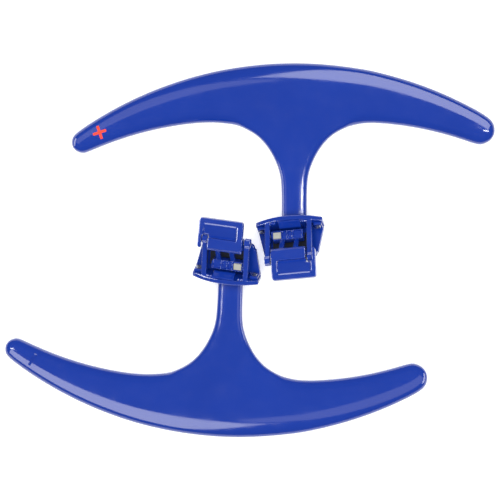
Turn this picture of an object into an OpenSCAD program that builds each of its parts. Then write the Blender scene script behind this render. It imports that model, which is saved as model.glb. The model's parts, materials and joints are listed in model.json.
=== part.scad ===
// A pair of sock-aid handles. Each is a one-piece curved grip with a spring clamp on the
// end of its stem. The two grips are mirror twins, and the clamps are alike.
// Units are millimetres. The pair lies on z = 0 with its origin under the middle of the pair.

/* [Grip] */
// Radius of the curved outer edge of a grip
crest_r = 204; // [165:1:250]
// Half the depth of the wings where they meet over the stem
middle_r = 18; // [15:0.5:22]
// Radius of the tip of the long wing
long_tip_r = 6.3; // [5:0.1:8]
// Radius of the tip of the short wing
short_tip_r = 8.4; // [7:0.1:10]
// Angle from the stem to the centre of the long wing's tip
long_angle = 35.5; // [32:0.5:38]
// Angle from the stem to the centre of the short wing's tip
short_angle = 31; // [28:0.5:34]
// Thickness of the grip in the middle
middle_t = 13; // [11:0.5:15]
// Thickness of the grip at the tips
tip_t = 10; // [8:0.5:12]
// How square the edge of the grip's section is, where 2 is an ellipse
edge_power = 2.5; // [2:0.1:4]

/* [Stem] */
// Width of the stem
stem_w = 13.7; // [12:0.1:17]
// Thickness of the stem
stem_t = 12.6; // [11.5:0.1:15]
// Radius of the fillets between the stem and the wings
fillet_r = 36; // [30:1:44]
// How far the fillets run up over the wings' inner edge
fillet_bite = 4.1; // [3:0.1:6]
// Length of the straight part of the stem, up to the seat of the clamp
stem_l = 21; // [17:0.1:32]
// Diameter of the clamp's spigot in the stem
spigot_d = 8; // [6:0.1:9]
// Length of the spigot
spigot_l = 15; // [12:0.5:18]
// Play between the spigot and its socket, on the radius
spigot_play = 0.05; // [0.02:0.01:0.2]

/* [Clamp place] */
// Upward tilt of the clamp from the stem
tilt = 25; // [15:1:30]
// Turn of the clamp in the plane of the grip
skew = 0.5; // [0:0.5:5]
// Roll of the clamp about its own length
roll = 11.5; // [0:0.5:14]
// Sideways shift of the clamp towards the long wing
seat_shift = 1.3; // [0:0.1:2]
// Height of the clamp's seat above the table
seat_z = 4.3; // [4:0.1:6]

/* [Clamp frame] */
// How far the flange reaches past each arm
flange_margin = 5.5; // [5:0.1:7]
// Height of the flange in the middle
flange_h = 14; // [13:0.2:16]
// Height of the flange at its ends
flange_end_h = 8.5; // [8:0.1:10]
// Thickness of the flange
flange_t = 2.5; // [2:0.1:3.5]
// Gap between the jaw's near side and the arm beside it
jaw_play = 0.5; // [0.3:0.1:1]
// Thickness of an arm
arm_t = 2.7; // [2:0.1:3]
// Distance of the hinge from the back of the flange
hinge_u = 24; // [22:0.1:29]
// Height of the hinge above the back of the tongue
hinge_w = 9.6; // [9.4:0.1:11]
// Wall round the pin in the round end of an arm
arm_eye_wall = 1.45; // [1.2:0.05:1.8]
// Height of the arms' underside at the flange
arm_low_w = 6.4; // [6:0.1:7]

/* [Tongue] */
// Length of the tongue from the flange's front
tongue_l = 17.8; // [16:0.1:20]
// Width of the tongue at its free end
tongue_end_w = 28.4; // [26:0.2:32]
// Thickness of the tongue
tongue_t = 2.6; // [2.4:0.1:3]
// Radius of the tongue's free corners
tongue_corner_r = 3; // [1:0.5:4]
// How far the soft pad on the tongue reaches past the jaw's soft pad
tongue_pad_margin = 1.2; // [0.5:0.1:2]
// Length of the soft pad on the tongue
tongue_pad_l = 10; // [8:0.5:11]
// Thickness of the soft pad on the tongue
tongue_pad_t = 1.2; // [1:0.1:1.4]
// Thickness of the tongue's ears, which carry its screws
ear_t = 1.6; // [1.2:0.1:2]

/* [Lever] */
// Diameter of the steel hinge pin
pin_d = 2.5; // [2:0.1:3]
// Play between the pin and the lever, on the radius
pin_play = 0.05; // [0.02:0.01:0.1]
// Wall of the lever's hub round the pin
hub_wall = 1.25; // [1:0.05:1.5]
// Play between the hub and an arm, on each side
hub_play = 0.5; // [0.3:0.1:0.8]
// How far the thumb pad reaches past the right arm
pad_overhang = 2.3; // [1.5:0.1:4]
// Step from the hub's left end to the thumb pad's left edge
pad_step = 0.3; // [0:0.1:1]
// Distance of the pad's free edge from the hinge
pad_reach = 12.6; // [11:0.2:15]
// Thickness of the thumb pad
pad_t = 3.2; // [3:0.1:4]
// Slope of the thumb pad down to its free edge
pad_slope = 10.5; // [8:0.5:12]
// Radius of the rounded ridge at the pad's hinge side
ridge_r = 1.7; // [1.4:0.1:2]
// Width of the thumb recess
recess_w = 18.3; // [16:0.1:19]
// Length of the thumb recess
recess_l = 8; // [6:0.1:9]
// Depth of the thumb recess at its hinge side
recess_d = 2; // [1.2:0.1:2.2]
// Width of each leg from the lever to the jaw
leg_w = 2.6; // [2:0.1:3]
// Distance between the middles of the two legs
leg_gap = 7.8; // [7:0.1:9]

/* [Jaw] */
// Width of the jaw
jaw_w = 17.4; // [14.5:0.1:21]
// Sideways shift of the jaw from the clamp's centre line
jaw_shift = -0.9; // [-1:0.1:0]
// Length of the jaw along the clamp
jaw_l = 5.2; // [4.8:0.1:6]
// Gap between the lifting jaw's lower edge and the sloped block behind it
swing_play = 0.53; // [0.3:0.01:1]
// Height of the jaw's body
jaw_h = 6; // [5.8:0.1:7]
// Thickness of the walls and ribs between the jaw's cells
rib_t = 0.76; // [0.6:0.02:1]
// Width of each of the two narrow cells in the jaw's middle
narrow_cell_w = 2.2; // [1.8:0.1:2.6]
// Depth of the cells
cell_d = 1.3; // [1:0.1:1.6]
// Gap between the closed jaw's soft pad and the tongue's soft pad
jaw_gap = 0.15; // [0.1:0.05:0.3]
// Thickness of the soft pad under the jaw
jaw_pad_t = 1.5; // [1.2:0.1:1.8]
// Distance from the jaw's edges to its soft pad
jaw_pad_inset = 0.8; // [0.5:0.1:1.2]

/* [Fasteners and spring] */
// Diameter of the thread of each small screw
screw_d = 1.8; // [1.6:0.1:2]
// Diameter of the head of each small screw
screw_head_d = 3; // [2.6:0.1:3.2]
// Diameter of the thread of the screw in the stem
stem_screw_d = 3; // [2.5:0.1:3.5]
// Diameter of the head of the screw in the stem
stem_screw_head_d = 5.6; // [5:0.1:6]
// Diameter of the spring's wire
wire_d = 0.6; // [0.5:0.05:0.7]
// Number of turns of the spring
spring_turns = 6; // [4:1:7]

/* [Marks] */
// Length of each bar of the plus and minus marks
mark_l = 7.6; // [6:0.1:9]
// Width of each bar of the marks
mark_w = 1.5; // [1:0.1:2]
// Turn of the plus mark
mark_turn = 19; // [0:1:45]
// Turn of the minus mark
minus_turn = 61; // [45:1:90]
// Depth of the marks
mark_d = 0.8; // [0.5:0.1:1]
// Distance of a mark from the tip's centre, back along the long wing
mark_back = 10.8; // [6:0.2:14]

/* [Pair] */
// How far the two clamps lie past each other
clamp_pass = 25.8; // [10:0.1:40]
// How much wider apart the two stems lie than a flange is wide
side_gap = 1.5; // [0.5:0.1:10]
// Lean of the minus grip
lean = 2.4; // [0:0.1:4]

/* [Hidden] */
$fn = 64;
blue = "#2A45A9";
steel = "#B9BBBE";
soft = "#24272E";
red = "#F1544F";
eps = 0.01;
section_points = 20;
wing_steps = 26;
tip_steps = 6;
// Larger than any piece, for cuts that go right through
far = 60;
// The section's centre height in the stem, where the spigot runs
stem_mid_z = stem_t / 2;
// Distances from a grip's outer edge to the straight part of its stem and to its clamp
neck_start = 2 * middle_r + fillet_r - fillet_bite;
seat_y = neck_start + stem_l;
stem_screw_y = seat_y - spigot_l / 2 - 1;
stem_screw_head_h = stem_screw_head_d * 0.3;
// The jaw fits between the arms, and the flange and the thumb pad reach past them
jaw_left = jaw_shift - jaw_w / 2;
arm_inner = jaw_play - jaw_left;
arm_outer = arm_inner + arm_t;
arm_end_r = pin_d / 2 + arm_eye_wall;
flange_w = 2 * (arm_outer + flange_margin);
hub_r = pin_d / 2 + hub_wall;
hub_half = arm_inner - hub_play;
pad_left = pad_step - hub_half;
pad_right = arm_outer + pad_overhang;
// The soft pad on the tongue stands a little proud, and the closed jaw stops just above it
tongue_pad_proud = 0.2;
tongue_pad_w = 2 * (tongue_pad_margin - jaw_left - jaw_pad_inset);
tongue_pad_u = flange_t + 3.4;
jaw_low = tongue_t + tongue_pad_proud + jaw_gap;
jaw_base = jaw_low + jaw_pad_t / 2;
jaw_top = jaw_base + jaw_h;
// The jaw's lower back edge is chamfered, and swings up past the sloped block's front
jaw_chamfer = 0.6;
block_front_u = flange_t + 2.4;
jaw_back_u = hinge_u
  - sqrt(pow(hinge_u - block_front_u - swing_play, 2) - pow(hinge_w - jaw_base - jaw_chamfer, 2));
jaw_front_u = jaw_back_u + jaw_l;
// The tongue's plate hangs on the flange's face by two ears
ear_low_play = 0.05;
tongue_back_u = flange_t + ear_low_play;
ear_h = flange_end_h - 0.5;
ear_screw_w = flange_end_h - 2.9;
ear_screw_v = arm_outer + 2.6;
big_cell_w = (jaw_w - 5 * rib_t - 2 * narrow_cell_w) / 2;
ridge_u = hinge_u - 3.6;
ridge_w = hinge_w + 3;
spring_pitch = wire_d + 0.08;
spring_half = (spring_turns * spring_pitch + wire_d) / 2;
spring_mid = arm_inner - 0.2 - spring_half;
spring_leg_l = 5;
tang_l = 1.6;
// Left end of the bay for the spring in the lever's hub
bay_left = spring_mid - spring_half - 0.3;
coil_r = pin_d / 2 + 0.35 + wire_d / 2;
// Tenons of the legs in the jaw
tenon_w = 1.6;
tenon_h = 1.4;
tenon_low_w = jaw_base + 2.6;
tenon_play = 0.05;
// The pair's place: the origin is midway between the minus grip's long tip and the plus
// grip's short tip, which are the furthest points to each side
long_reach_x = (crest_r - long_tip_r) * sin(long_angle);
long_reach_y = crest_r - (crest_r - long_tip_r) * cos(long_angle);
minus_reach = long_reach_x * cos(lean) - long_reach_y * sin(lean) + long_tip_r;
plus_reach = (crest_r - short_tip_r) * sin(short_angle) + short_tip_r;
pair_middle = (minus_reach - plus_reach) / 2;
plus_x = pair_middle + (flange_w + side_gap) / 2;
minus_x = pair_middle - (flange_w + side_gap) / 2;
pair_span = 2 * seat_y + clamp_pass;

function flip(side) = side == "plus" ? -1 : 1;
function power(a) = sign(a) * pow(abs(a), 2 / edge_power);

// Points of one closed section: half width a, half thickness b
function section(a, b) = [
  for (i = [0:section_points - 1])
    let (t = 360 * i / section_points) [a * power(cos(t)), b + b * power(sin(t))]
];

// Faces that join a stack of closed rings of n points, with both ends capped
function skin(rings, n) = concat(
  [[for (j = [0:n - 1]) j]],
  [for (i = [0:rings - 2], j = [0:n - 1])
    let (k = (j + 1) % n) [i * n + j, (i + 1) * n + j, (i + 1) * n + k]],
  [for (i = [0:rings - 2], j = [0:n - 1])
    let (k = (j + 1) % n) [i * n + j, (i + 1) * n + k, i * n + k]],
  [[for (j = [n - 1:-1:0]) (rings - 1) * n + j]]
);

// One station of a wing is [angle, half depth, half thickness, sideways shrink in a round tip]
function wing_half(angle, tip_r) = concat(
  [for (i = [1:wing_steps]) let (f = i / wing_steps)
    [angle * f, middle_r + (tip_r - middle_r) * f, (middle_t + (tip_t - middle_t) * f) / 2, 0]],
  [for (i = [1:tip_steps]) let (t = 86 * i / tip_steps)
    [angle + tip_r * sin(t) / (crest_r - tip_r) * 180 / PI, tip_r * cos(t), tip_t / 2 * pow(cos(t), 0.5),
     tip_r * (1 - cos(t))]]
);
function backwards(list) = [for (i = [len(list) - 1:-1:0]) list[i]];
function stations() = concat(
  [for (s = backwards(wing_half(long_angle, long_tip_r))) [-s[0], s[1], s[2], s[3]]],
  [[0, middle_r, middle_t / 2, 0]],
  wing_half(short_angle, short_tip_r)
);

// Both wings as one sweep along the outer edge, with the long wing on -X
module wings(grow = 0) {
  rings = stations();
  points = [
    for (s = rings)
      let (a = max(s[1] + grow, eps), b = max(s[2] + grow, eps))
        for (p = section(a, b))
          let (r = crest_r - s[3] - s[1] + p[0], z = p[1] - b + (s[3] > 0 ? tip_t / 2 : s[2]))
            [r * sin(s[0]), r * cos(s[0]) - crest_r, z]
  ];
  polyhedron(points, skin(len(rings), section_points), convexity = 4);
}

// Half width of the stem at a distance y below the outer edge, with the fillets to the wings
function stem_half(y) = stem_w / 2 + (y < neck_start
  ? fillet_r - sqrt(fillet_r * fillet_r - pow(min(neck_start - y, fillet_r - 0.1), 2)) : 0);
function stem_ring(y, a, b) = [for (p = section(a, b)) [p[0], -y, p[1]]];

module stem() {
  flare_top = neck_start - fillet_r + 0.1;
  flare_l = neck_start - flare_top;
  flare_steps = 14;
  flare = [for (i = [0:flare_steps]) flare_top + flare_l * (1 - cos(90 * i / flare_steps))];
  // The first rings stay hidden inside the wings
  rings = concat(
    [for (hidden = [[0.7, 0.8], [1.2, 1.5], [1.6, 2.05]])
      [middle_r * hidden[0], stem_w * hidden[1], stem_t / 2 - 0.1]],
    [for (y = flare) [y, stem_half(y), stem_t / 2]],
    [[neck_start + 2, stem_w / 2, stem_t / 2], [seat_y + 12, stem_w / 2, stem_t / 2]]
  );
  points = [for (s = rings, p = stem_ring(s[0], s[1], s[2])) p];
  polyhedron(points, skin(len(rings), section_points), convexity = 4);
}

// Puts what is drawn for one handle, stem towards -Y, in its place in the pair
module at(side) {
  if (side == "plus")
    translate([plus_x, pair_span / 2, 0]) children();
  else
    translate([minus_x, -pair_span / 2, 0]) rotate([0, 0, 180 - lean]) children();
}

// The clamp's own frame: x across, -y outwards from the stem, z from the tongue to the jaw
module at_clamp(side) {
  translate([flip(side) * seat_shift, -seat_y, seat_z])
    rotate([0, 0, -flip(side) * skew]) rotate([-tilt, 0, 0]) rotate([0, flip(side) * roll, 0]) children();
}

// Extrudes an outline drawn as [outwards, up] across the clamp, from v0 to v1
module across(v0, v1) {
  translate([v1, 0, 0]) rotate([90, 0, -90]) linear_extrude(v1 - v0) children();
}

// Extrudes an outline drawn as [across, up] outwards, from u0 to u1
module outwards(u0, u1) {
  translate([0, -u0, 0]) rotate([90, 0, 0]) linear_extrude(u1 - u0) children();
}

// A box in the clamp's frame, given by its limits across, outwards and up
module block(v0, v1, u0, u1, w0, w1) {
  translate([v0, -u1, w0]) cube([v1 - v0, u1 - u0, w1 - w0]);
}

// A rectangle with round corners
module round_rect(w, h, r) {
  translate([r, 0]) square([w - 2 * r, h]);
  translate([0, r]) square([w, h - 2 * r]);
  for (x = [r, w - r], y = [r, h - r]) translate([x, y]) circle(r);
}

// What lies behind the flange, where the stem ends
module behind_flange(side) {
  at_clamp(side) translate([-far, 0, -far]) cube([2 * far, 4 * far, 2 * far]);
}

// A short bar lying on the wing at the middle of a mark
module mark_bar(side, turn) {
  a = long_angle - mark_back / crest_r * 180 / PI;
  r = crest_r - long_tip_r - mark_back * (middle_r - long_tip_r) / (crest_r * long_angle * PI / 180);
  translate([flip(side) * r * sin(a), r * cos(a) - crest_r, tip_t / 2])
    rotate([0, 0, turn]) translate([-mark_l / 2, -mark_w / 2, 0]) cube([mark_l, mark_w, tip_t]);
}
module plus_bars() {
  mark_bar("plus", mark_turn);
  mark_bar("plus", mark_turn + 90);
}

// Everything on a wing down to the given depth below its surface
module wing_core(side, depth) {
  mirror([side == "plus" ? 0 : 1, 0, 0]) wings(-depth);
}

// One-piece moulding of the two wings and the stem, with the socket for the clamp
module grip(side) {
  color(blue) at(side) difference() {
    union() {
      mirror([side == "plus" ? 0 : 1, 0, 0]) wings();
      intersection() {
        stem();
        behind_flange(side);
      }
    }
    // Socket for the clamp's spigot
    translate([0, 1 - seat_y + spigot_l, stem_mid_z]) rotate([90, 0, 0])
      cylinder(r = spigot_d / 2 + spigot_play, h = far);
    // Hole for the screw that holds the spigot
    stem_screw_place() {
      translate([0, 0, -1]) cylinder(d = stem_screw_head_d + 0.4, h = 1 + stem_screw_head_h);
      cylinder(d = stem_screw_d + 0.3, h = stem_mid_z);
    }
    // Pocket of the mark
    if (side == "plus")
      difference() {
        plus_bars();
        wing_core(side, mark_d);
      }
    else
      difference() {
        mark_bar("minus", minus_turn);
        wing_core(side, mark_d);
      }
  }
}
module stem_screw_place() {
  translate([0, -stem_screw_y, 0]) children();
}

// Red plus let into the long wing of the plus grip
module plus_mark() {
  color(red) at("plus") difference() {
    intersection() {
      plus_bars();
      wings(0.1);
    }
    wing_core("plus", mark_d - 0.02);
  }
}

// Flange, arms and spigot in one moulding
module clamp_frame(side) {
  color(blue) at(side) difference() {
    union() {
      at_clamp(side) clamp_frame_front();
      difference() {
        translate([0, -(seat_y - spigot_l), stem_mid_z]) rotate([90, 0, 0])
          cylinder(d = spigot_d, h = spigot_l + 4);
        at_clamp(side) block(-far, far, flange_t / 2, far, -far, far);
      }
    }
    stem_screw_place() cylinder(d = stem_screw_d, h = stem_mid_z + spigot_d / 4);
  }
}
arch_drop = flange_h - flange_end_h;
arch_r = (pow(flange_w / 2, 2) + arch_drop * arch_drop) / (2 * arch_drop);
module flange_outline(margin = 0) {
  intersection() {
    translate([-flange_w / 2 + margin, 0]) round_rect(flange_w - 2 * margin, flange_h + 2, 1.4);
    translate([0, flange_h - arch_r]) circle(arch_r - margin, $fn = 128);
  }
}
module arm_outline() {
  polygon([
    [flange_t - 0.5, arm_low_w], [flange_t - 0.5, flange_h - 2.6], [flange_t + 5, hinge_w + 2],
    [hinge_u, hinge_w + arm_end_r * 0.9], [hinge_u, hinge_w - arm_end_r * 0.9]
  ]);
  translate([hinge_u, hinge_w]) circle(arm_end_r);
}
module clamp_frame_front() {
  block_left = -5.4;
  block_right = 6.6;
  boss_r = 1.4;
  difference() {
    union() {
      outwards(0, flange_t) flange_outline();
      across(-arm_outer, -arm_inner) arm_outline();
      across(arm_inner, arm_outer) arm_outline();
      // Sloped block that covers the root of the spigot
      across(block_left, block_right) polygon([
        [flange_t - 0.5, tongue_t + 1], [flange_t - 0.5, flange_h - 1.6],
        [flange_t + 0.4, flange_h - 1.6], [block_front_u, hinge_w - 0.8], [block_front_u, tongue_t + 1]
      ]);
      // Round bosses beside the arms' roots
      for (v = [-arm_inner + 1.7, arm_inner - 1.7])
        translate([v, 0, flange_h - 3.6]) rotate([90, 0, 0]) cylinder(r = boss_r, h = flange_t + 0.8);
    }
    across(-arm_outer - 1, arm_outer + 1) translate([hinge_u, hinge_w]) circle(d = pin_d);
    across(0, arm_inner + tang_l + 0.3) translate([hinge_u, hinge_w + coil_r]) circle(d = wire_d + 0.1);
    for (s = tongue_screw_spots())
      translate([s[0], 1, s[1]]) rotate([90, 0, 0]) cylinder(d = screw_d, h = flange_t + 2);
  }
}
function tongue_screw_spots() = [[-ear_screw_v, ear_screw_w], [ear_screw_v, ear_screw_w]];

// Back plate that goes inside the sock, with two ears that carry its screws
module tongue(side) {
  color(blue) at(side) at_clamp(side) difference() {
    union() {
      intersection() {
        linear_extrude(tongue_t) polygon([
          [-flange_w / 2 + 0.2, -tongue_back_u], [flange_w / 2 - 0.2, -tongue_back_u],
          [tongue_end_w / 2, -flange_t - tongue_l], [-tongue_end_w / 2, -flange_t - tongue_l]
        ]);
        translate([-flange_w / 2, -flange_t - tongue_l, -1])
          linear_extrude(tongue_t + 2) tongue_corners();
      }
      for (s = [-1, 1])
        translate([s < 0 ? -flange_w / 2 + 0.6 : arm_outer + 0.4, -tongue_back_u - ear_t, 0])
          cube([flange_margin - 1, ear_t, ear_h]);
    }
    translate([-tongue_pad_w / 2, -tongue_pad_u - tongue_pad_l, tongue_t - tongue_pad_t + tongue_pad_proud])
      cube([tongue_pad_w, tongue_pad_l, tongue_pad_t]);
    for (s = tongue_screw_spots())
      translate([s[0], 0, s[1]]) rotate([90, 0, 0]) cylinder(d = screw_d + 0.2, h = far);
  }
}
// Round free corners: the plate's end, as wide as its root, with a circle at each end corner
module tongue_corners() {
  side_x = (flange_w - tongue_end_w) / 2;
  r = tongue_corner_r;
  translate([0, r]) square([flange_w, tongue_l + 5]);
  translate([side_x + r, 0]) square([tongue_end_w - 2 * r, r + 1]);
  for (x = [side_x + r, flange_w - side_x - r]) translate([x, r]) circle(r);
}

// Soft ribbed pad let into the tongue under the jaw
module tongue_pad(side) {
  low = tongue_t - tongue_pad_t + tongue_pad_proud;
  rib_pitch = tongue_pad_l / 5;
  groove_w = 0.5;
  color(soft) at(side) at_clamp(side) translate([0, -tongue_pad_u, low]) difference() {
    translate([-tongue_pad_w / 2, -tongue_pad_l, 0]) cube([tongue_pad_w, tongue_pad_l, tongue_pad_t]);
    for (i = [1:4])
      translate([-tongue_pad_w / 2 - 1, -rib_pitch * i - groove_w / 2, tongue_pad_t - tongue_pad_proud])
        cube([tongue_pad_w + 2, groove_w, 1]);
  }
}

// Two small screws through the tongue's ears
module tongue_screws(side) {
  head_h = 0.9;
  color(steel) at(side) at_clamp(side)
    for (s = tongue_screw_spots())
      translate([s[0], -tongue_back_u - ear_t, s[1]]) rotate([90, 0, 0]) difference() {
        union() {
          cylinder(d = screw_head_d, h = head_h);
          translate([0, 0, -ear_t - flange_t + 0.4]) cylinder(d = screw_d, h = ear_t + flange_t);
        }
        screw_cross(screw_head_d * 0.6, 0.5, head_h);
      }
}
// Cross recess in a screw's head, whose top is at height top
module screw_cross(span, wide, top) {
  for (a = [0, 90]) rotate([0, 0, a])
    translate([-span / 2, -wide / 2, top - 0.5]) cube([span, wide, 1]);
}

// Screw from below that holds the spigot in the stem
module stem_screw(side) {
  color(steel) at(side) stem_screw_place() difference() {
    union() {
      translate([0, 0, 0.3]) cylinder(d = stem_screw_head_d, h = stem_screw_head_h - 0.3);
      translate([0, 0, stem_screw_head_h - 0.1]) cylinder(d = stem_screw_d, h = stem_mid_z - 1);
    }
    mirror([0, 0, 1]) screw_cross(stem_screw_head_d * 0.6, 0.8, -0.3);
  }
}

// Thumb lever: pad, ridge, hub with a bay for the spring, and two legs to the jaw
module lever(side) {
  recess_mid = (pad_left + pad_right) / 2 + 0.3;
  recess_u = hinge_u + 2.2;
  color(blue) at(side) at_clamp(side) difference() {
    union() {
      // Thumb pad
      translate([0, -hinge_u, ridge_w + ridge_r]) rotate([pad_slope, 0, 0]) translate([0, hinge_u, 0])
        difference() {
          translate([pad_left, -hinge_u - pad_reach - 0.4, -pad_t])
            linear_extrude(pad_t) round_rect(pad_right - pad_left, pad_reach + 4, 1.5);
          across(recess_mid - recess_w / 2, recess_mid + recess_w / 2) polygon([
            [recess_u, 1], [recess_u, -recess_d], [recess_u + recess_l, -0.3], [recess_u + recess_l, 1]
          ]);
        }
      // Ridge along the hinge side
      across(pad_left, hub_half) translate([ridge_u, ridge_w]) circle(ridge_r);
      // Hub
      across(-hub_half, bay_left) hub_outline();
      // Legs
      for (s = [-1, 1])
        across(leg_mid(s) - leg_w / 2, leg_mid(s) + leg_w / 2) polygon([
          [jaw_front_u - 0.02, jaw_base + 2.2], [jaw_front_u - 0.02, jaw_base + jaw_h - 1.4],
          [ridge_u - 0.6, ridge_w + ridge_r * 0.8], [ridge_u + 1, ridge_w - ridge_r]
        ]);
      // Tenons in the jaw
      for (s = [-1, 1])
        tenon(s, 0);
    }
    across(-far, far) translate([hinge_u, hinge_w]) circle(pin_d / 2 + pin_play);
    // Notch round the right arm's end
    block(arm_inner - hub_play, arm_outer + hub_play, 0, hinge_u + arm_end_r + 0.7, -far, far);
    // Bay for the spring
    across(bay_left, arm_inner) translate([hinge_u, hinge_w]) circle(coil_r + wire_d / 2 + 0.35);
    // Groove for the spring's leg
    block(spring_mid - spring_half - 0.15, spring_mid - spring_half + wire_d + 0.15,
          hinge_u, hinge_u + spring_leg_l + 0.4, hinge_w, hinge_w + coil_r + wire_d / 2 + 0.05);
  }
}
module hub_outline() {
  translate([hinge_u, hinge_w]) circle(hub_r);
  polygon([
    [hinge_u - hub_r, hinge_w], [ridge_u, ridge_w], [hinge_u, ridge_w - 1], [hinge_u + hub_r, hinge_w]
  ]);
}
function leg_mid(s) = jaw_shift + 1.1 + s * leg_gap / 2;
module tenon(s, grow) {
  block(leg_mid(s) - tenon_w / 2 - grow, leg_mid(s) + tenon_w / 2 + grow,
        jaw_front_u - 1.6 - grow, jaw_front_u + 0.5, tenon_low_w - grow, tenon_low_w + tenon_h + grow);
}

// Steel pin through both arms and the hub
module lever_pin(side) {
  color(steel) at(side) at_clamp(side)
    across(-arm_outer - 0.3, arm_outer + 0.3) translate([hinge_u, hinge_w]) circle(d = pin_d);
}

// Torsion spring on the pin: one end let into the right arm, the other under the thumb pad
module spring(side) {
  color(steel) at(side) at_clamp(side) translate([spring_mid, -hinge_u, hinge_w]) {
    coil();
    translate([spring_half - wire_d / 2 - 0.1, 0, coil_r]) rotate([0, 90, 0])
      cylinder(d = wire_d - 0.02, h = tang_l + 0.1);
    translate([wire_d / 2 - spring_half, 0.1, coil_r]) rotate([90, 0, 0])
      cylinder(d = wire_d - 0.02, h = spring_leg_l);
  }
}
// Closed helix of wire along x, centred on the origin
module coil() {
  steps_a_turn = 14;
  steps = steps_a_turn * spring_turns;
  sides = 8;
  points = [for (i = [0:steps])
    let (a = 90 + 360 * i / steps_a_turn, x = spring_half - wire_d / 2 - spring_pitch * i / steps_a_turn)
      for (j = [0:sides - 1])
        let (t = 360 * j / sides, r = coil_r + wire_d / 2 * cos(t))
          [x - wire_d / 2 * sin(t), r * cos(a), r * sin(a)]
  ];
  polyhedron(points, skin(steps + 1, sides), convexity = 10);
}

// Moulded jaw with four open cells
module jaw(side) {
  cells = cell_spans();
  color(blue) at(side) at_clamp(side) difference() {
    intersection() {
      across(jaw_left, jaw_left + jaw_w) jaw_outline();
      translate([jaw_left, -jaw_front_u, 0]) linear_extrude(40) round_rect(jaw_w, jaw_l, 1.2);
    }
    for (c = cells)
      across(c[0], c[1]) translate([jaw_back_u, 0]) polygon([
        [1, jaw_top + 1], [1, jaw_top - cell_d], [jaw_l - cell_d - 0.4, jaw_top - cell_d],
        [jaw_l - cell_d, jaw_top - cell_d - 0.5], [jaw_l - cell_d, jaw_base + 4.3],
        [jaw_l + 1, jaw_base + 4.3], [jaw_l + 1, jaw_top + 1]
      ]);
    // Bore for the core
    across(jaw_left - 1, jaw_left + jaw_w - 1) core_outline(0.05);
    core_plate(0.05);
    // Groove for the soft pad
    jaw_pad_block(jaw_base - 1, jaw_base + jaw_pad_t / 2);
    for (s = [-1, 1]) tenon(s, tenon_play);
  }
}
module jaw_outline() {
  translate([jaw_back_u, jaw_base]) polygon([
    [0, jaw_chamfer], [0, jaw_h - 0.8], [0.8, jaw_h], [jaw_l - 1.8, jaw_h], [jaw_l, jaw_h - 1.8],
    [jaw_l, 0], [jaw_chamfer, 0]
  ]);
}
// Left and right limits of the four cells
function cell_spans() = let (
  a = jaw_left + rib_t,
  b = a + big_cell_w + rib_t,
  c = b + narrow_cell_w + rib_t,
  d = c + narrow_cell_w + rib_t
) [[a, a + big_cell_w], [b, b + narrow_cell_w], [c, c + narrow_cell_w], [d, d + big_cell_w]];
module core_outline(grow) {
  translate([jaw_back_u + 1 - grow, jaw_base + jaw_pad_t / 2 + 0.5 - grow])
    square([1.5 + 2 * grow, 2.3 + 2 * grow]);
}

// The core's upright plate, which stands in the first cell, and its lip over the cell's front
module core_plate(grow) {
  first = cell_spans()[0];
  left = first[0] + 0.2 - grow;
  right = first[1] - 0.2 + grow;
  lip_u = jaw_front_u - cell_d - 0.6;
  block(left, right, jaw_back_u + 1.2 - grow, lip_u + grow,
        jaw_base + jaw_pad_t / 2 + 1, jaw_top - 0.3);
  block(left, right, lip_u - 0.2, jaw_front_u - 0.5, jaw_base + 4.35 - grow, jaw_top - 0.3);
}

// Plated steel bar that stiffens the jaw, with its upright plate showing in the first cell
module jaw_core(side) {
  color(steel) at(side) at_clamp(side) union() {
    across(jaw_left, jaw_left + jaw_w - 1.1) core_outline(0);
    core_plate(0);
  }
}

// Soft strip under the jaw
module jaw_pad(side) {
  color(soft) at(side) at_clamp(side)
    jaw_pad_block(jaw_low, jaw_low + jaw_pad_t - 0.02);
}
module jaw_pad_block(w0, w1) {
  block(jaw_left + jaw_pad_inset, jaw_left + jaw_w - jaw_pad_inset,
        jaw_back_u + jaw_pad_inset, jaw_front_u - jaw_pad_inset, w0, w1);
}

plus_mark();
for (side = ["plus", "minus"]) {
  grip(side);
  clamp_frame(side);
  tongue(side);
  tongue_pad(side);
  tongue_screws(side);
  stem_screw(side);
  lever(side);
  lever_pin(side);
  spring(side);
  jaw(side);
  jaw_core(side);
  jaw_pad(side);
}
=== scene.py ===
import json
import math

import bpy
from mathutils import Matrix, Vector


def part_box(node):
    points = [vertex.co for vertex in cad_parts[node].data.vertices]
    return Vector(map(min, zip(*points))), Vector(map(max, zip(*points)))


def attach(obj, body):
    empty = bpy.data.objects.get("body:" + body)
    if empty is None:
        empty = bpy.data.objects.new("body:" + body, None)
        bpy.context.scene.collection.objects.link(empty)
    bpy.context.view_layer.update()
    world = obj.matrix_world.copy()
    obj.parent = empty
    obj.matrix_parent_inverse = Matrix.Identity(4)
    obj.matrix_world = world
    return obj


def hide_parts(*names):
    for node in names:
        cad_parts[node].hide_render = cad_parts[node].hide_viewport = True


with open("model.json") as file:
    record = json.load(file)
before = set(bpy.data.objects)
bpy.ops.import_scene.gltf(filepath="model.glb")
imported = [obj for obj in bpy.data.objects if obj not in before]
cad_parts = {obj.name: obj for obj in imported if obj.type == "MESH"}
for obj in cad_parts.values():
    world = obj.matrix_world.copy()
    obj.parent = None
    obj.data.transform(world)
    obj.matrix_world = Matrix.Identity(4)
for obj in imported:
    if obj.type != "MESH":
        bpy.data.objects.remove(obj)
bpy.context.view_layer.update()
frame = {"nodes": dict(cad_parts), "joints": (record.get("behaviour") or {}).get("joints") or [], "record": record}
MM = 0.001
DEG = math.radians(1)
mounts = {mount["name"]: mount for mount in frame["record"]["mounts"]}
joints = {joint["name"]: joint for joint in frame["joints"]}

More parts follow.
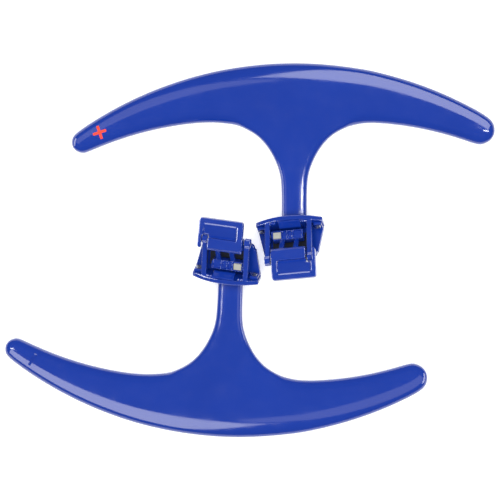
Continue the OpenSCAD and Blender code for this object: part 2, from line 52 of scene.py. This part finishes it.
# ---------------------------------------------------------------- camera
# Straight down on the pair as it lies on the table, through a long lens, with the
# plus handle at the top of the picture. The view's width holds at the grips' middle.
view_width = 271.6 * MM
camera_height = 1.8
grip_middle_z = 6 * MM
camera_data = bpy.data.cameras.new("camera")
camera_data.lens = camera_data.sensor_width * camera_height / view_width
camera_data.clip_end = 20
camera = bpy.data.objects.new("camera", camera_data)
camera.location = (0, 0, camera_height + grip_middle_z)
bpy.context.scene.collection.objects.link(camera)
bpy.context.scene.camera = camera

# ---------------------------------------------------------------- light and table
# A white table top under a wide overhead light. Large panels are seen only as reflections,
# as in a studio with flags: some in the grips, some in the rounded edges of the clamps.
bpy.context.scene.view_settings.view_transform = "Standard"
lit_plus_grip = bpy.data.collections.new("lit_plus_grip")
lit_minus_grip = bpy.data.collections.new("lit_minus_grip")
lit_clamps = bpy.data.collections.new("lit_clamps")


def softbox(name, place, size, power, receivers=None):
    """An area light aimed at the middle: a soft light, or a panel that some pieces reflect."""
    data = bpy.data.lights.new(name, "AREA")
    data.shape = "RECTANGLE"
    data.size, data.size_y = size
    data.energy = power
    lamp = bpy.data.objects.new(name, data)
    lamp.location = place
    lamp.rotation_euler = (-Vector(place)).to_track_quat("-Z", "Y").to_euler()
    bpy.context.scene.collection.objects.link(lamp)
    lamp.visible_glossy = receivers is not None
    lamp.visible_diffuse = receivers is None
    if receivers:
        lamp.light_linking.receiver_collection = receivers


softbox("overhead", (0, 0, 2.4), (3.2, 3.2), 118)
# The second grip is lit like the first one turned by half a turn
for turn, name, grip_lit in ((1, "plus", lit_plus_grip), (-1, "minus", lit_minus_grip)):
    softbox(f"{name}_wing_panel", (0.66 * turn, 0.98 * turn, 1.2), (1.35, 1.25), 24, grip_lit)
    softbox(f"{name}_stem_strip", (0.78 * turn, 0.1 * turn, 1.5), (0.06, 0.6), 5, grip_lit)
    softbox(f"{name}_weak_panel", (-0.75 * turn, 0.6 * turn, 1.5), (1.2, 1.1), 4, grip_lit)
    softbox(f"{name}_low_panel", (-1.2 * turn, 0.2 * turn, 0.55), (1.2, 0.5), 12, grip_lit)
    softbox(f"{name}_side_panel", (1.3 * turn, 0.1 * turn, 0.75), (1.4, 0.9), 75, lit_clamps)
    softbox(f"{name}_end_panel", (0.1 * turn, 1.4 * turn, 0.4), (1.6, 0.5), 14, lit_clamps)

world = bpy.data.worlds.new("studio")
world.use_nodes = True
world.node_tree.nodes["Background"].inputs["Color"].default_value = (0.8, 0.85, 1, 1)
world.node_tree.nodes["Background"].inputs["Strength"].default_value = 0.25
bpy.context.scene.world = world


def linear(hex_colour):
    """An sRGB hex colour as the linear numbers that a shader takes."""
    parts = [int(hex_colour[i : i + 2], 16) / 255 for i in (1, 3, 5)]
    return [p / 12.92 if p <= 0.04045 else ((p + 0.055) / 1.055) ** 2.4 for p in parts] + [1]


def node(tree, kind, settings=(), links=()):
    """Adds a node, sets its properties and input values, and links outputs to its inputs."""
    made = tree.nodes.new(kind)
    for key, value in dict(settings).items():
        if isinstance(key, str) and hasattr(made, key):
            setattr(made, key, value)
        else:
            made.inputs[key].default_value = value
    for key, output in dict(links).items():
        tree.links.new(output, made.inputs[key])
    return made


def finish_named(name, settings):
    """A new material with a Principled shader at these constant settings."""
    material = bpy.data.materials.new(name)
    material.use_nodes = True
    shader = material.node_tree.nodes["Principled BSDF"]
    for key, value in settings.items():
        shader.inputs[key].default_value = value
    return material, material.node_tree, shader


# Table top: white laminate, with a very faint mottle so that it isn't one flat colour.
table_white, tree, shader = finish_named("white_laminate", {"Roughness": 0.9, "Specular IOR Level": 0.1})
place = node(tree, "ShaderNodeTexCoord").outputs["Object"]
mottle = node(tree, "ShaderNodeTexNoise", {"Scale": 6, "Detail": 2}, {"Vector": place})
tones = node(tree, "ShaderNodeMix", {"data_type": "RGBA", 6: linear("#F7F7F7"), 7: linear("#FAFAFA")},
             {0: mottle.outputs["Fac"]})
tree.links.new(tones.outputs[2], shader.inputs["Base Color"])
# A little light of its own takes the shadows out, as on a lit table top
shader.inputs["Emission Color"].default_value = (1, 1, 1, 1)
shader.inputs["Emission Strength"].default_value = 0.35
table_size = 12
table_gap = 0.2 * MM
bpy.ops.mesh.primitive_plane_add(size=table_size, location=(0, 0, -table_gap))
table = bpy.context.object
table.name = "table_top"
table.data.materials.append(table_white)

# ---------------------------------------------------------------- grips
# One-piece gloss ABS mouldings: two curved wings for the palm and a stem that goes
# between the fingers. Injection moulded in a polished tool, each grip in one piece.
# A cage is swept as rings round the outer edge's centre, and the stem is pulled out of
# its inner faces. The minus grip is the plus grip's mirror twin.
crest_r = 204 * MM
middle_r = 18 * MM
middle_t = 13 * MM
tip_t = 10 * MM
stem_t = 12.6 * MM
seat_y = 88.9 * MM
# How far the minus grip is turned from the plus grip's direction, beyond half a turn
lean = 2.4
# Each wing's angle from the stem to the middle of its round tip, and the tip's radius
wing = {"long": (35.5, 6.3 * MM), "short": (31, 8.4 * MM)}
plus_low, plus_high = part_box("plus_grip")
long_reach = (crest_r - wing["long"][1]) * math.sin(wing["long"][0] * DEG) + wing["long"][1]
crest = Vector((plus_low.x + long_reach, plus_high.y, 0))
hub = crest - Vector((0, crest_r, 0))
# How far the ring's corners reach towards a square section's, where 0.707 is an ellipse
corner = 0.75
# A smooth cage shrinks as it is subdivided, so its rings are this much larger
grow = 6 / (4 + 2 * corner)
# The rings over the stem, in degrees from its middle, and the others, as shares of the
# wing's angle
stem_stations = (5.3, 10.6)
wing_stations = (0.42, 0.55, 0.68, 0.8, 0.91, 1)
# How much deeper the ring is at which the fillets to the stem begin
fillet_reach = 0.8 * MM
# Rings that close in on a tip: their distance past its middle and their size, as shares of
# the tip's radius, and whether they keep more of their thickness than of their width
end_rings = ((0.55, 0.86, True), (0.86, 0.5, True), (0.99, 0.18, False))


def object_mode():
    """Leaves edit mode, if a piece is in it."""
    if bpy.context.object and bpy.context.object.mode != "OBJECT":
        bpy.ops.object.mode_set(mode="OBJECT")


def pick(*pieces):
    """Selects only these pieces, the last one active."""
    object_mode()
    bpy.ops.object.select_all(action="DESELECT")
    for piece in pieces:
        piece.select_set(True)
        bpy.context.view_layer.objects.active = piece


def edit(piece):
    """Selects this piece and opens it for editing."""
    pick(piece)
    bpy.ops.object.mode_set(mode="EDIT")


def select_where(piece, test, kind="vertices"):
    """Selects the vertices or faces of the piece being edited whose place passes the test."""
    bpy.ops.mesh.select_mode(type="VERT" if kind == "vertices" else "FACE")
    bpy.ops.mesh.select_all(action="DESELECT")
    bpy.ops.object.mode_set(mode="OBJECT")
    for item in getattr(piece.data, kind):
        where = item.co if kind == "vertices" else item.center
        item.select = bool(test(where))
    bpy.ops.object.mode_set(mode="EDIT")


def modify(piece, kind, **settings):
    """Adds a modifier with these settings and applies it."""
    pick(piece)
    modifier = piece.modifiers.new(kind.lower(), kind)
    for key, value in settings.items():
        setattr(modifier, key, value)
    bpy.ops.object.modifier_apply(modifier=modifier.name)


def cut(piece, cutter, operation="DIFFERENCE"):
    """Cuts the piece with the cutter, which is then used up."""
    modify(piece, "BOOLEAN", operation=operation, solver="EXACT", object=cutter)
    bpy.data.objects.remove(cutter)


def rod(radius, start, end):
    """A straight round bar from start to end."""
    object_mode()
    bpy.ops.object.select_all(action="DESELECT")
    along = end - start
    bpy.ops.mesh.primitive_cylinder_add(vertices=48, radius=radius, depth=along.length,
                                        location=(start + end) / 2,
                                        rotation=along.to_track_quat("Z", "Y").to_euler())
    bpy.ops.object.transform_apply(location=True, rotation=True, scale=True)
    return bpy.context.object


# First ring, over the stem: eight points, upright, its outer point on the crest
bpy.ops.object.select_all(action="DESELECT")
bpy.ops.mesh.primitive_circle_add(vertices=8, radius=1, rotation=(math.pi / 2, 0, math.pi / 2))
grip = bpy.context.object
grip.name = "plus_grip_moulding"
bpy.ops.object.transform_apply(location=True, rotation=True, scale=True)
edit(grip)
select_where(grip, lambda p: abs(p.y) > 0.5 and abs(p.z) > 0.5)
square_up = corner / math.sqrt(0.5)
bpy.ops.transform.resize(value=(1, square_up, square_up), center_override=(0, 0, 0))
bpy.ops.mesh.select_all(action="SELECT")
bpy.ops.transform.resize(value=(1, middle_r * grow, middle_t / 2 * grow), center_override=(0, 0, 0))
bpy.ops.transform.translate(value=(crest.x, crest.y - middle_r, middle_t / 2))

# Each wing, ring by ring from the stem to its round tip: a ring is pulled out of the last,
# turned along the outer edge, and drawn in towards that edge
for side, name in ((-1, "long"), (1, "short")):
    tip_angle, tip_r = wing[name]
    select_where(grip, lambda p: abs(p.x - crest.x) < 1e-6)
    angle, depth, thick = 0, middle_r, middle_t
    for station in (*stem_stations, *(tip_angle * share for share in wing_stations)):
        share = station / tip_angle
        new_depth = middle_r + (tip_r - middle_r) * share
        if station == stem_stations[-1]:
            new_depth += fillet_reach
        new_thick = middle_t + (tip_t - middle_t) * share
        edge = hub + crest_r * Vector((side * math.sin(station * DEG), math.cos(station * DEG), 0))
        bpy.ops.mesh.extrude_region_move()
        bpy.ops.transform.rotate(value=side * (station - angle) * DEG, orient_axis="Z", center_override=hub)
        bpy.ops.transform.resize(value=(new_depth / depth, new_depth / depth, new_thick / thick),
                                 center_override=edge)
        angle, depth, thick = station, new_depth, new_thick
    # Round end: smaller rings that close in on the tip, and a last small face
    tip_centre_r = crest_r - tip_r
    for step, size, thicker in end_rings:
        turn = tip_angle + step * tip_r / tip_centre_r / DEG - angle
        angle += turn
        middle = hub + tip_centre_r * Vector((side * math.sin(angle * DEG), math.cos(angle * DEG), 0))
        factor = size * tip_r / depth
        bpy.ops.mesh.extrude_region_move()
        bpy.ops.transform.rotate(value=side * turn * DEG, orient_axis="Z", center_override=hub)
        thinning = (1 + factor) / 2 if thicker else factor * 1.6
        bpy.ops.transform.resize(value=(factor, factor, thinning),
                                 center_override=(middle.x, middle.y, tip_t / 2))
        depth = size * tip_r
    bpy.ops.mesh.edge_face_add()

# Stem: the inner faces next to the middle are pulled out towards the clamp, row by row,
# through the fillets. Each row is its distance from the outer edge and its half width, in mm.
stem_rows = ((35.2, 27.5), (38.5, 20.8), (44, 15.2), (51, 10.9), (60, 7.3), (69, 6.7),
             (80, 6.65), (93, 6.65))
inner = crest_r - 2 * middle_r
select_where(grip, lambda p: (p - hub).xy.length < inner + middle_r * 0.6
             and abs(math.atan2(p.x - hub.x, p.y - hub.y)) < stem_stations[-1] * DEG, "polygons")
half_now = inner * math.sin(stem_stations[-1] * DEG) / MM
for distance, half in stem_rows:
    bpy.ops.mesh.extrude_region_move()
    bpy.ops.transform.resize(value=(half / half_now, 0, 1),
                             center_override=(crest.x, crest.y - distance * MM, 0))
    half_now = half
modify(grip, "SUBSURF", levels=3, render_levels=3)

# The stem is cut off square to the clamp's seat, and bored for its spigot and the screw
out = Vector(mounts["plus_jaw_mouth"]["axis"])
up = -Vector(mounts["plus_tongue_back"]["axis"])
hinge_out = 24 * MM
hinge_up = 9.6 * MM
seat = Vector(joints["plus_lever_press"]["pos_m"]) - hinge_out * out - hinge_up * up
edit(grip)
bpy.ops.mesh.select_all(action="SELECT")
bpy.ops.mesh.bisect(plane_co=seat, plane_no=out, use_fill=True, clear_outer=True)
object_mode()
spigot_r = 4.05 * MM
socket_depth = 16 * MM
socket_end = crest + Vector((0, socket_depth - seat_y, stem_t / 2))
cut(grip, rod(spigot_r, socket_end, socket_end - Vector((0, 40 * MM, 0))))
screw_from_seat = 8.5 * MM
screw_foot = crest + Vector((0, screw_from_seat - seat_y, 0))
# The head's counterbore from below, and the shank's hole up into the socket
for hole_r, low, high in ((3 * MM, -1 * MM, 1.68 * MM), (1.65 * MM, 1 * MM, 6 * MM)):
    cut(grip, rod(hole_r, screw_foot + Vector((0, 0, low)), screw_foot + Vector((0, 0, high))))

# Its mirror twin is turned end for end, and lies with its long wing's tip at the pair's left
pick(grip)
bpy.ops.object.duplicate()
twin = bpy.context.object
twin.name = "minus_grip_moulding"
minus_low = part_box("minus_grip")[0]
long_angle, long_tip_r = wing["long"]
twin_turn = 180 - lean
twin_tip = (crest_r - long_tip_r) * math.sin((twin_turn - long_angle) * DEG)
twin_hub = Vector((minus_low.x + long_tip_r + twin_tip, minus_low.y + crest_r, 0))
edit(twin)
bpy.ops.mesh.select_all(action="SELECT")
bpy.ops.transform.mirror(constraint_axis=(True, False, False), center_override=hub)
bpy.ops.mesh.normals_make_consistent(inside=False)
bpy.ops.transform.rotate(value=-twin_turn * DEG, orient_axis="Z", center_override=hub)
bpy.ops.transform.translate(value=twin_hub - hub)
object_mode()

# Marks that tell the two grips apart by touch: a plus let into one, a short groove in the
# other, each on the middle line of the long wing and a little back from its tip's middle
mark_l = 7.6 * MM
mark_w = 1.5 * MM
mark_d = 0.8 * MM
mark_back = 10.8 * MM
mark_angle = long_angle - mark_back / crest_r / DEG
mark_r = crest_r - long_tip_r - mark_back * (middle_r - long_tip_r) / (crest_r * long_angle * DEG)
mark_top = middle_t + (tip_t - middle_t) * mark_angle / long_angle
cutter_h = 3 * MM


def bar(name, around, angle, turn, arms):
    """An upright-sided bar, or a cross of two, let down into a wing to the marks' depth."""
    bpy.ops.object.select_all(action="DESELECT")
    where = around + mark_r * Vector((math.sin(angle * DEG), math.cos(angle * DEG), 0))
    bpy.ops.mesh.primitive_cube_add(size=1, scale=(mark_w, mark_w, cutter_h))
    made = bpy.context.object
    made.name = name
    bpy.ops.object.transform_apply(location=True, rotation=True, scale=True)
    edit(made)
    for arm in range(arms):
        heading = arm * 2 * math.pi / arms
        way = Vector((round(math.cos(heading)), round(math.sin(heading)), 0))
        select_where(made, lambda p: (p - way * mark_w / 2).length < 1e-5, "polygons")
        bpy.ops.mesh.extrude_region_move(TRANSFORM_OT_translate={"value": way * (mark_l - mark_w) / 2})
    # The upright edges at the arms' ends are rounded
    select_where(made, lambda p: max(abs(p.x), abs(p.y)) > mark_l / 2 - 1e-5)
    bpy.ops.mesh.select_mode(type="EDGE")
    bpy.ops.object.mode_set(mode="OBJECT")
    for line in made.data.edges:
        a, b = (made.data.vertices[v].co for v in line.vertices)
        line.select = abs(a.z - b.z) > cutter_h / 2 and max(abs(a.x), abs(a.y)) > mark_l / 2 - 1e-5
    bpy.ops.object.mode_set(mode="EDIT")
    bpy.ops.mesh.bevel(offset=mark_w * 0.3, segments=4, affect="EDGES")
    object_mode()
    made.rotation_euler = (0, 0, turn * DEG)
    made.location = where + Vector((0, 0, mark_top - mark_d + cutter_h / 2))
    bpy.ops.object.transform_apply(location=True, rotation=True, scale=True)
    return made


# The marks' turns on their wings
plus_turn = 19
minus_turn = 61 + twin_turn
cross = bar("plus_mark_inlay", hub, -mark_angle, plus_turn, 4)
pick(cross)
bpy.ops.object.duplicate()
pocket = bpy.context.object
pick(grip)
bpy.ops.object.duplicate()
wing_copy = bpy.context.object
cut(cross, wing_copy, "INTERSECT")
cut(grip, pocket)
cut(twin, bar("groove", twin_hub, mark_angle - twin_turn, minus_turn, 2))

for piece, body in ((grip, "handle_plus"), (twin, "handle_minus")):
    pick(piece)
    bpy.ops.object.shade_smooth_by_angle(angle=35 * DEG)
    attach(piece, body)
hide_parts("plus_grip")
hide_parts("minus_grip")


def moulded_abs(name, dark, light, roughness):
    """Gloss ABS from a polished tool: two near tones of one blue that drift over the piece, a slight
    orange peel, and faint rubbed patches where the gloss has dulled."""
    material, tree, shader = finish_named(name, {"IOR": 1.53, "Coat Weight": 0.25, "Coat Roughness": 0.05})
    place = node(tree, "ShaderNodeTexCoord").outputs["Object"]
    # Flow of the colour in the melt, about 40 mm across
    flow = node(tree, "ShaderNodeTexNoise", {"Scale": 1 / (40 * MM), "Detail": 3}, {"Vector": place})
    tones = node(tree, "ShaderNodeMix", {"data_type": "RGBA", 6: linear(dark), 7: linear(light)},
                 {0: flow.outputs["Fac"]})
    tree.links.new(tones.outputs[2], shader.inputs["Base Color"])
    # Rubbed patches, about 9 mm across
    rub = node(tree, "ShaderNodeTexNoise", {"Scale": 1 / (9 * MM), "Detail": 6, "Roughness": 0.65},
               {"Vector": place})
    dull = node(tree, "ShaderNodeMapRange",
                {"From Min": 0.45, "From Max": 0.75, "To Min": roughness, "To Max": roughness + 0.09},
                {"Value": rub.outputs["Fac"]})
    tree.links.new(dull.outputs["Result"], shader.inputs["Roughness"])
    # Orange peel, ripples 3 mm across and a few hundredths high
    peel = node(tree, "ShaderNodeTexNoise", {"Scale": 1 / (3 * MM), "Detail": 1}, {"Vector": place})
    ripple = node(tree, "ShaderNodeBump", {"Strength": 0.12, "Distance": 0.03 * MM},
                  {"Height": peel.outputs["Fac"]})
    tree.links.new(ripple.outputs["Normal"], shader.inputs["Normal"])
    return material


# The grips' own blue, deep and saturated
grip_abs = moulded_abs("gloss_blue_abs", "#0C2D86", "#103392", 0.09)
for piece in (grip, twin):
    piece.data.materials.clear()
    piece.data.materials.append(grip_abs)
    (lit_plus_grip if piece is grip else lit_minus_grip).objects.link(piece)

# Mark: red ABS pressed into its pocket, a little rougher than the grip round it, and
# standing just proud of it
mark_rise = 0.05 * MM
mark_red, tree, shader = finish_named("red_abs_inlay", {"Roughness": 0.35, "IOR": 1.53})
place = node(tree, "ShaderNodeTexCoord").outputs["Object"]
speck = node(tree, "ShaderNodeTexNoise", {"Scale": 1 / (0.8 * MM), "Detail": 3}, {"Vector": place})
tones = node(tree, "ShaderNodeMix", {"data_type": "RGBA", 6: linear("#E0301F"), 7: linear("#F4553F")},
             {0: speck.outputs["Fac"]})
tree.links.new(tones.outputs[2], shader.inputs["Base Color"])
edit(cross)
bpy.ops.mesh.select_all(action="SELECT")
bpy.ops.transform.translate(value=(0, 0, mark_rise))
object_mode()
bpy.ops.object.shade_smooth_by_angle(angle=35 * DEG)
cross.data.materials.clear()
cross.data.materials.append(mark_red)
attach(cross, "handle_plus")
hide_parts("plus_mark")

# ---------------------------------------------------------------- clamp mouldings
# The clamp's four blue mouldings: the frame with its flange and two arms, the tongue that
# goes inside the sock, the thumb lever and the jaw. Gloss ABS, injection moulded, with every
# edge left round by the tool.
clamp_abs = moulded_abs("gloss_blue_abs_clamp", "#0C2C85", "#123594", 0.1)


def copied(cad_name, name):
    """A loose copy of a CAD node in the same place, its facets merged into whole faces."""
    source = frame["nodes"][cad_name]
    pick(source)
    bpy.ops.object.duplicate()
    made = bpy.context.object
    made.name = name
    for key in list(made.keys()):
        del made[key]
    made.parent = None
    edit(made)
    bpy.ops.mesh.select_all(action="SELECT")
    bpy.ops.mesh.remove_doubles(threshold=0.002 * MM)
    bpy.ops.mesh.dissolve_limited(angle_limit=0.5 * DEG)
    bpy.ops.mesh.normals_make_consistent(inside=False)
    object_mode()
    return made


def fitted(made, cad_name, body, material):
    """Gives a finished copy its material and body, in place of the CAD node."""
    made.data.materials.clear()
    made.data.materials.append(material)
    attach(made, body)
    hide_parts(cad_name)


def moulded(made, grain_mm, passes):
    """Turns a sharp-edged shape into one as it leaves a mould: a fine even skin over it, with
    every edge and inner corner run smooth."""
    modify(made, "REMESH", mode="VOXEL", voxel_size=grain_mm * MM, use_smooth_shade=True)
    modify(made, "SMOOTH", factor=0.5, iterations=passes)
    pick(made)
    bpy.ops.object.shade_smooth()


def rounded_more(made, passes, start, outward):
    """Runs the edges of all that lies beyond a point, in this direction, to a larger round."""
    edit(made)
    select_where(made, lambda point: (point - start).dot(outward) > 0)
    bpy.ops.object.vertex_group_add()
    bpy.ops.object.vertex_group_assign()
    object_mode()
    modify(made, "SMOOTH", factor=0.5, iterations=passes, vertex_group=made.vertex_groups[0].name)
    made.vertex_groups.clear()


def thicker_skin(made, side, hinge, outward, across, up):
    """Fills in the skin between the spring's end and the thumb recess, so that it stays whole."""
    spring_low, spring_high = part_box(f"{side}_spring")
    right = 1 if ((spring_low + spring_high) / 2 - hinge).dot(across) > 0 else -1
    skin = hinge + across * right * spring_end_across + up * spring_end_up
    pick(rod(skin_r, skin, skin + outward * spring_end_l), made)
    bpy.ops.object.join()


def softened(made, edge_mm, facet_angle=30):
    """Rounds a copy's sharp edges to this radius, and shades its curved faces smooth."""
    if edge_mm:
        modify(made, "BEVEL", width=edge_mm * MM, segments=3, limit_method="ANGLE",
               angle_limit=facet_angle * DEG, use_clamp_overlap=True)
    pick(made)
    bpy.ops.object.shade_smooth_by_angle(angle=facet_angle * DEG)
    modify(made, "WEIGHTED_NORMAL", keep_sharp=True)


# The arms' ends swell into rounded bosses round the hinge pin
arm_inner = 10.1 * MM
arm_outer = 12.8 * MM
boss_r = 2.75 * MM
boss_swell = 0.45 * MM
# The spring's end under the thumb pad, from the hinge, and a round fill over it
spring_end_across = 5.52 * MM
spring_end_up = 2 * MM
spring_end_l = 5.6 * MM
skin_r = 0.4 * MM
# Where the thumb pad's large rounds begin, from the hinge
pad_start = 3 * MM
for side in ("plus", "minus"):
    handle, lever = f"handle_{side}", f"lever_{side}"
    hinge = Vector(joints[f"{side}_lever_press"]["pos_m"])
    outward = Vector(mounts[f"{side}_jaw_mouth"]["axis"])
    up = -Vector(mounts[f"{side}_tongue_back"]["axis"])
    across = outward.cross(up)
    # Grain of the skin in mm, and how often it is smoothed
    for part, name, body, slot, grain, passes in (
        ("clamp_frame", "clamp_frame_moulding", handle, "clamp_blue", 0.2, 16),
        ("tongue", "tongue_plate", handle, "tongue_blue", 0.2, 10),
        ("lever", "thumb_lever", lever, "lever_blue", 0.2, 10),
        ("jaw", "jaw_moulding", lever, "jaw_blue", 0.13, 12),
    ):
        made = copied(f"{side}_{part}", f"{side}_{name}")
        if part == "clamp_frame":
            for end in (1, -1):
                boss = rod(boss_r, hinge + across * end * arm_inner,
                           hinge + across * end * (arm_outer + boss_swell))
                pick(boss, made)
                bpy.ops.object.join()
        if part == "lever":
            thicker_skin(made, side, hinge, outward, across, up)
        moulded(made, grain, passes)
        if part == "lever":
            rounded_more(made, 30, hinge + outward * pad_start, outward)
        fitted(made, f"{side}_{part}", body, clamp_abs)
        lit_clamps.objects.link(made)

# ---------------------------------------------------------------- soft pads
# Thin strips of charcoal elastomer that hold the sock: one let into the tongue and one
# under the jaw. Moulded matt, and pressed into their grooves.
elastomer, tree, shader = finish_named("charcoal_elastomer", {"IOR": 1.46, "Sheen Weight": 0.15})
place = node(tree, "ShaderNodeTexCoord").outputs["Object"]
cloud = node(tree, "ShaderNodeTexNoise", {"Scale": 1 / (4 * MM), "Detail": 4}, {"Vector": place})
tones = node(tree, "ShaderNodeMix", {"data_type": "RGBA", 6: linear("#1C1F26"), 7: linear("#2B2E36")},
             {0: cloud.outputs["Fac"]})
tree.links.new(tones.outputs[2], shader.inputs["Base Color"])
dull = node(tree, "ShaderNodeMapRange", {"To Min": 0.6, "To Max": 0.8}, {"Value": cloud.outputs["Fac"]})
tree.links.new(dull.outputs["Result"], shader.inputs["Roughness"])
# Spark-eroded grain, 0.2 mm
grain = node(tree, "ShaderNodeTexNoise", {"Scale": 1 / (0.2 * MM), "Detail": 2}, {"Vector": place})
pits = node(tree, "ShaderNodeBump", {"Strength": 0.3, "Distance": 0.02 * MM},
            {"Height": grain.outputs["Fac"]})
tree.links.new(pits.outputs["Normal"], shader.inputs["Normal"])
for side in ("plus", "minus"):
    for part, body, edge in (("tongue_pad", "handle", 0.08), ("jaw_pad", "lever", 0.25)):
        made = copied(f"{side}_{part}", f"{side}_{part}_strip")
        softened(made, edge)
        fitted(made, f"{side}_{part}", f"{body}_{side}", elastomer)

# ---------------------------------------------------------------- screws, pins and cores
# Small cross-head screws that hold the tongue and the spigot, the lever's pin and the
# jaw's stiffening bar. Steel, plated with nickel or zinc, and turned or pressed, so with
# faint tool lines.


def plated(name, dark, light, roughness, line_mm, metallic=1.0):
    """Plated steel with two near tones and fine tool lines this far apart."""
    material, tree, shader = finish_named(name, {"Metallic": metallic})
    place = node(tree, "ShaderNodeTexCoord").outputs["Object"]
    bloom = node(tree, "ShaderNodeTexNoise", {"Scale": 1 / (2 * MM), "Detail": 4}, {"Vector": place})
    tones = node(tree, "ShaderNodeMix", {"data_type": "RGBA", 6: linear(dark), 7: linear(light)},
                 {0: bloom.outputs["Fac"]})
    tree.links.new(tones.outputs[2], shader.inputs["Base Color"])
    dull = node(tree, "ShaderNodeMapRange", {"To Min": roughness - 0.06, "To Max": roughness + 0.08},
                {"Value": bloom.outputs["Fac"]})
    tree.links.new(dull.outputs["Result"], shader.inputs["Roughness"])
    stretch = node(tree, "ShaderNodeMapping", {"Scale": (0.1, 1, 1)}, {"Vector": place})
    lines = node(tree, "ShaderNodeTexNoise", {"Scale": 1 / (line_mm * MM), "Detail": 2},
                 {"Vector": stretch.outputs["Vector"]})
    groove = node(tree, "ShaderNodeBump", {"Strength": 0.15, "Distance": 0.01 * MM},
                  {"Height": lines.outputs["Fac"]})
    tree.links.new(groove.outputs["Normal"], shader.inputs["Normal"])
    return material


nickel = plated("nickel_plated_steel", "#A9ABAE", "#C9CACC", 0.24, 0.15)
# The core's coat is passivated, which leaves it chalky
chalky_zinc = plated("passivated_zinc_on_steel", "#BDBCAE", "#D2D1C4", 0.45, 0.25, metallic=0.4)
for side in ("plus", "minus"):
    for part, name, body, slot, finish, edge in (
        ("tongue_screws", "tongue_cross_screws", "handle", "plated_steel", nickel, 0.12),
        ("stem_screw", "stem_cross_screw", "handle", "plated_steel", nickel, 0.15),
        ("lever_pin", "hinge_pin", "handle", "plated_steel", nickel, 0.25),
        ("jaw_core", "jaw_stiffener", "lever", "core_plate", chalky_zinc, 0.15),
    ):
        made = copied(f"{side}_{part}", f"{side}_{name}")
        softened(made, edge)
        fitted(made, f"{side}_{part}", f"{body}_{side}", finish)

# ---------------------------------------------------------------- springs
# Torsion springs of round music wire, wound on the pins: one end is let into the right
# arm, and the other presses up under the thumb pad. Drawn wire, so with lengthwise lines.
music_wire = plated("drawn_music_wire", "#8E9093", "#B4B6B9", 0.3, 0.1)
for side in ("plus", "minus"):
    made = copied(f"{side}_spring", f"{side}_torsion_spring")
    modify(made, "SUBSURF", levels=1, render_levels=1)
    softened(made, 0, facet_angle=60)
    fitted(made, f"{side}_spring", f"lever_{side}", music_wire)
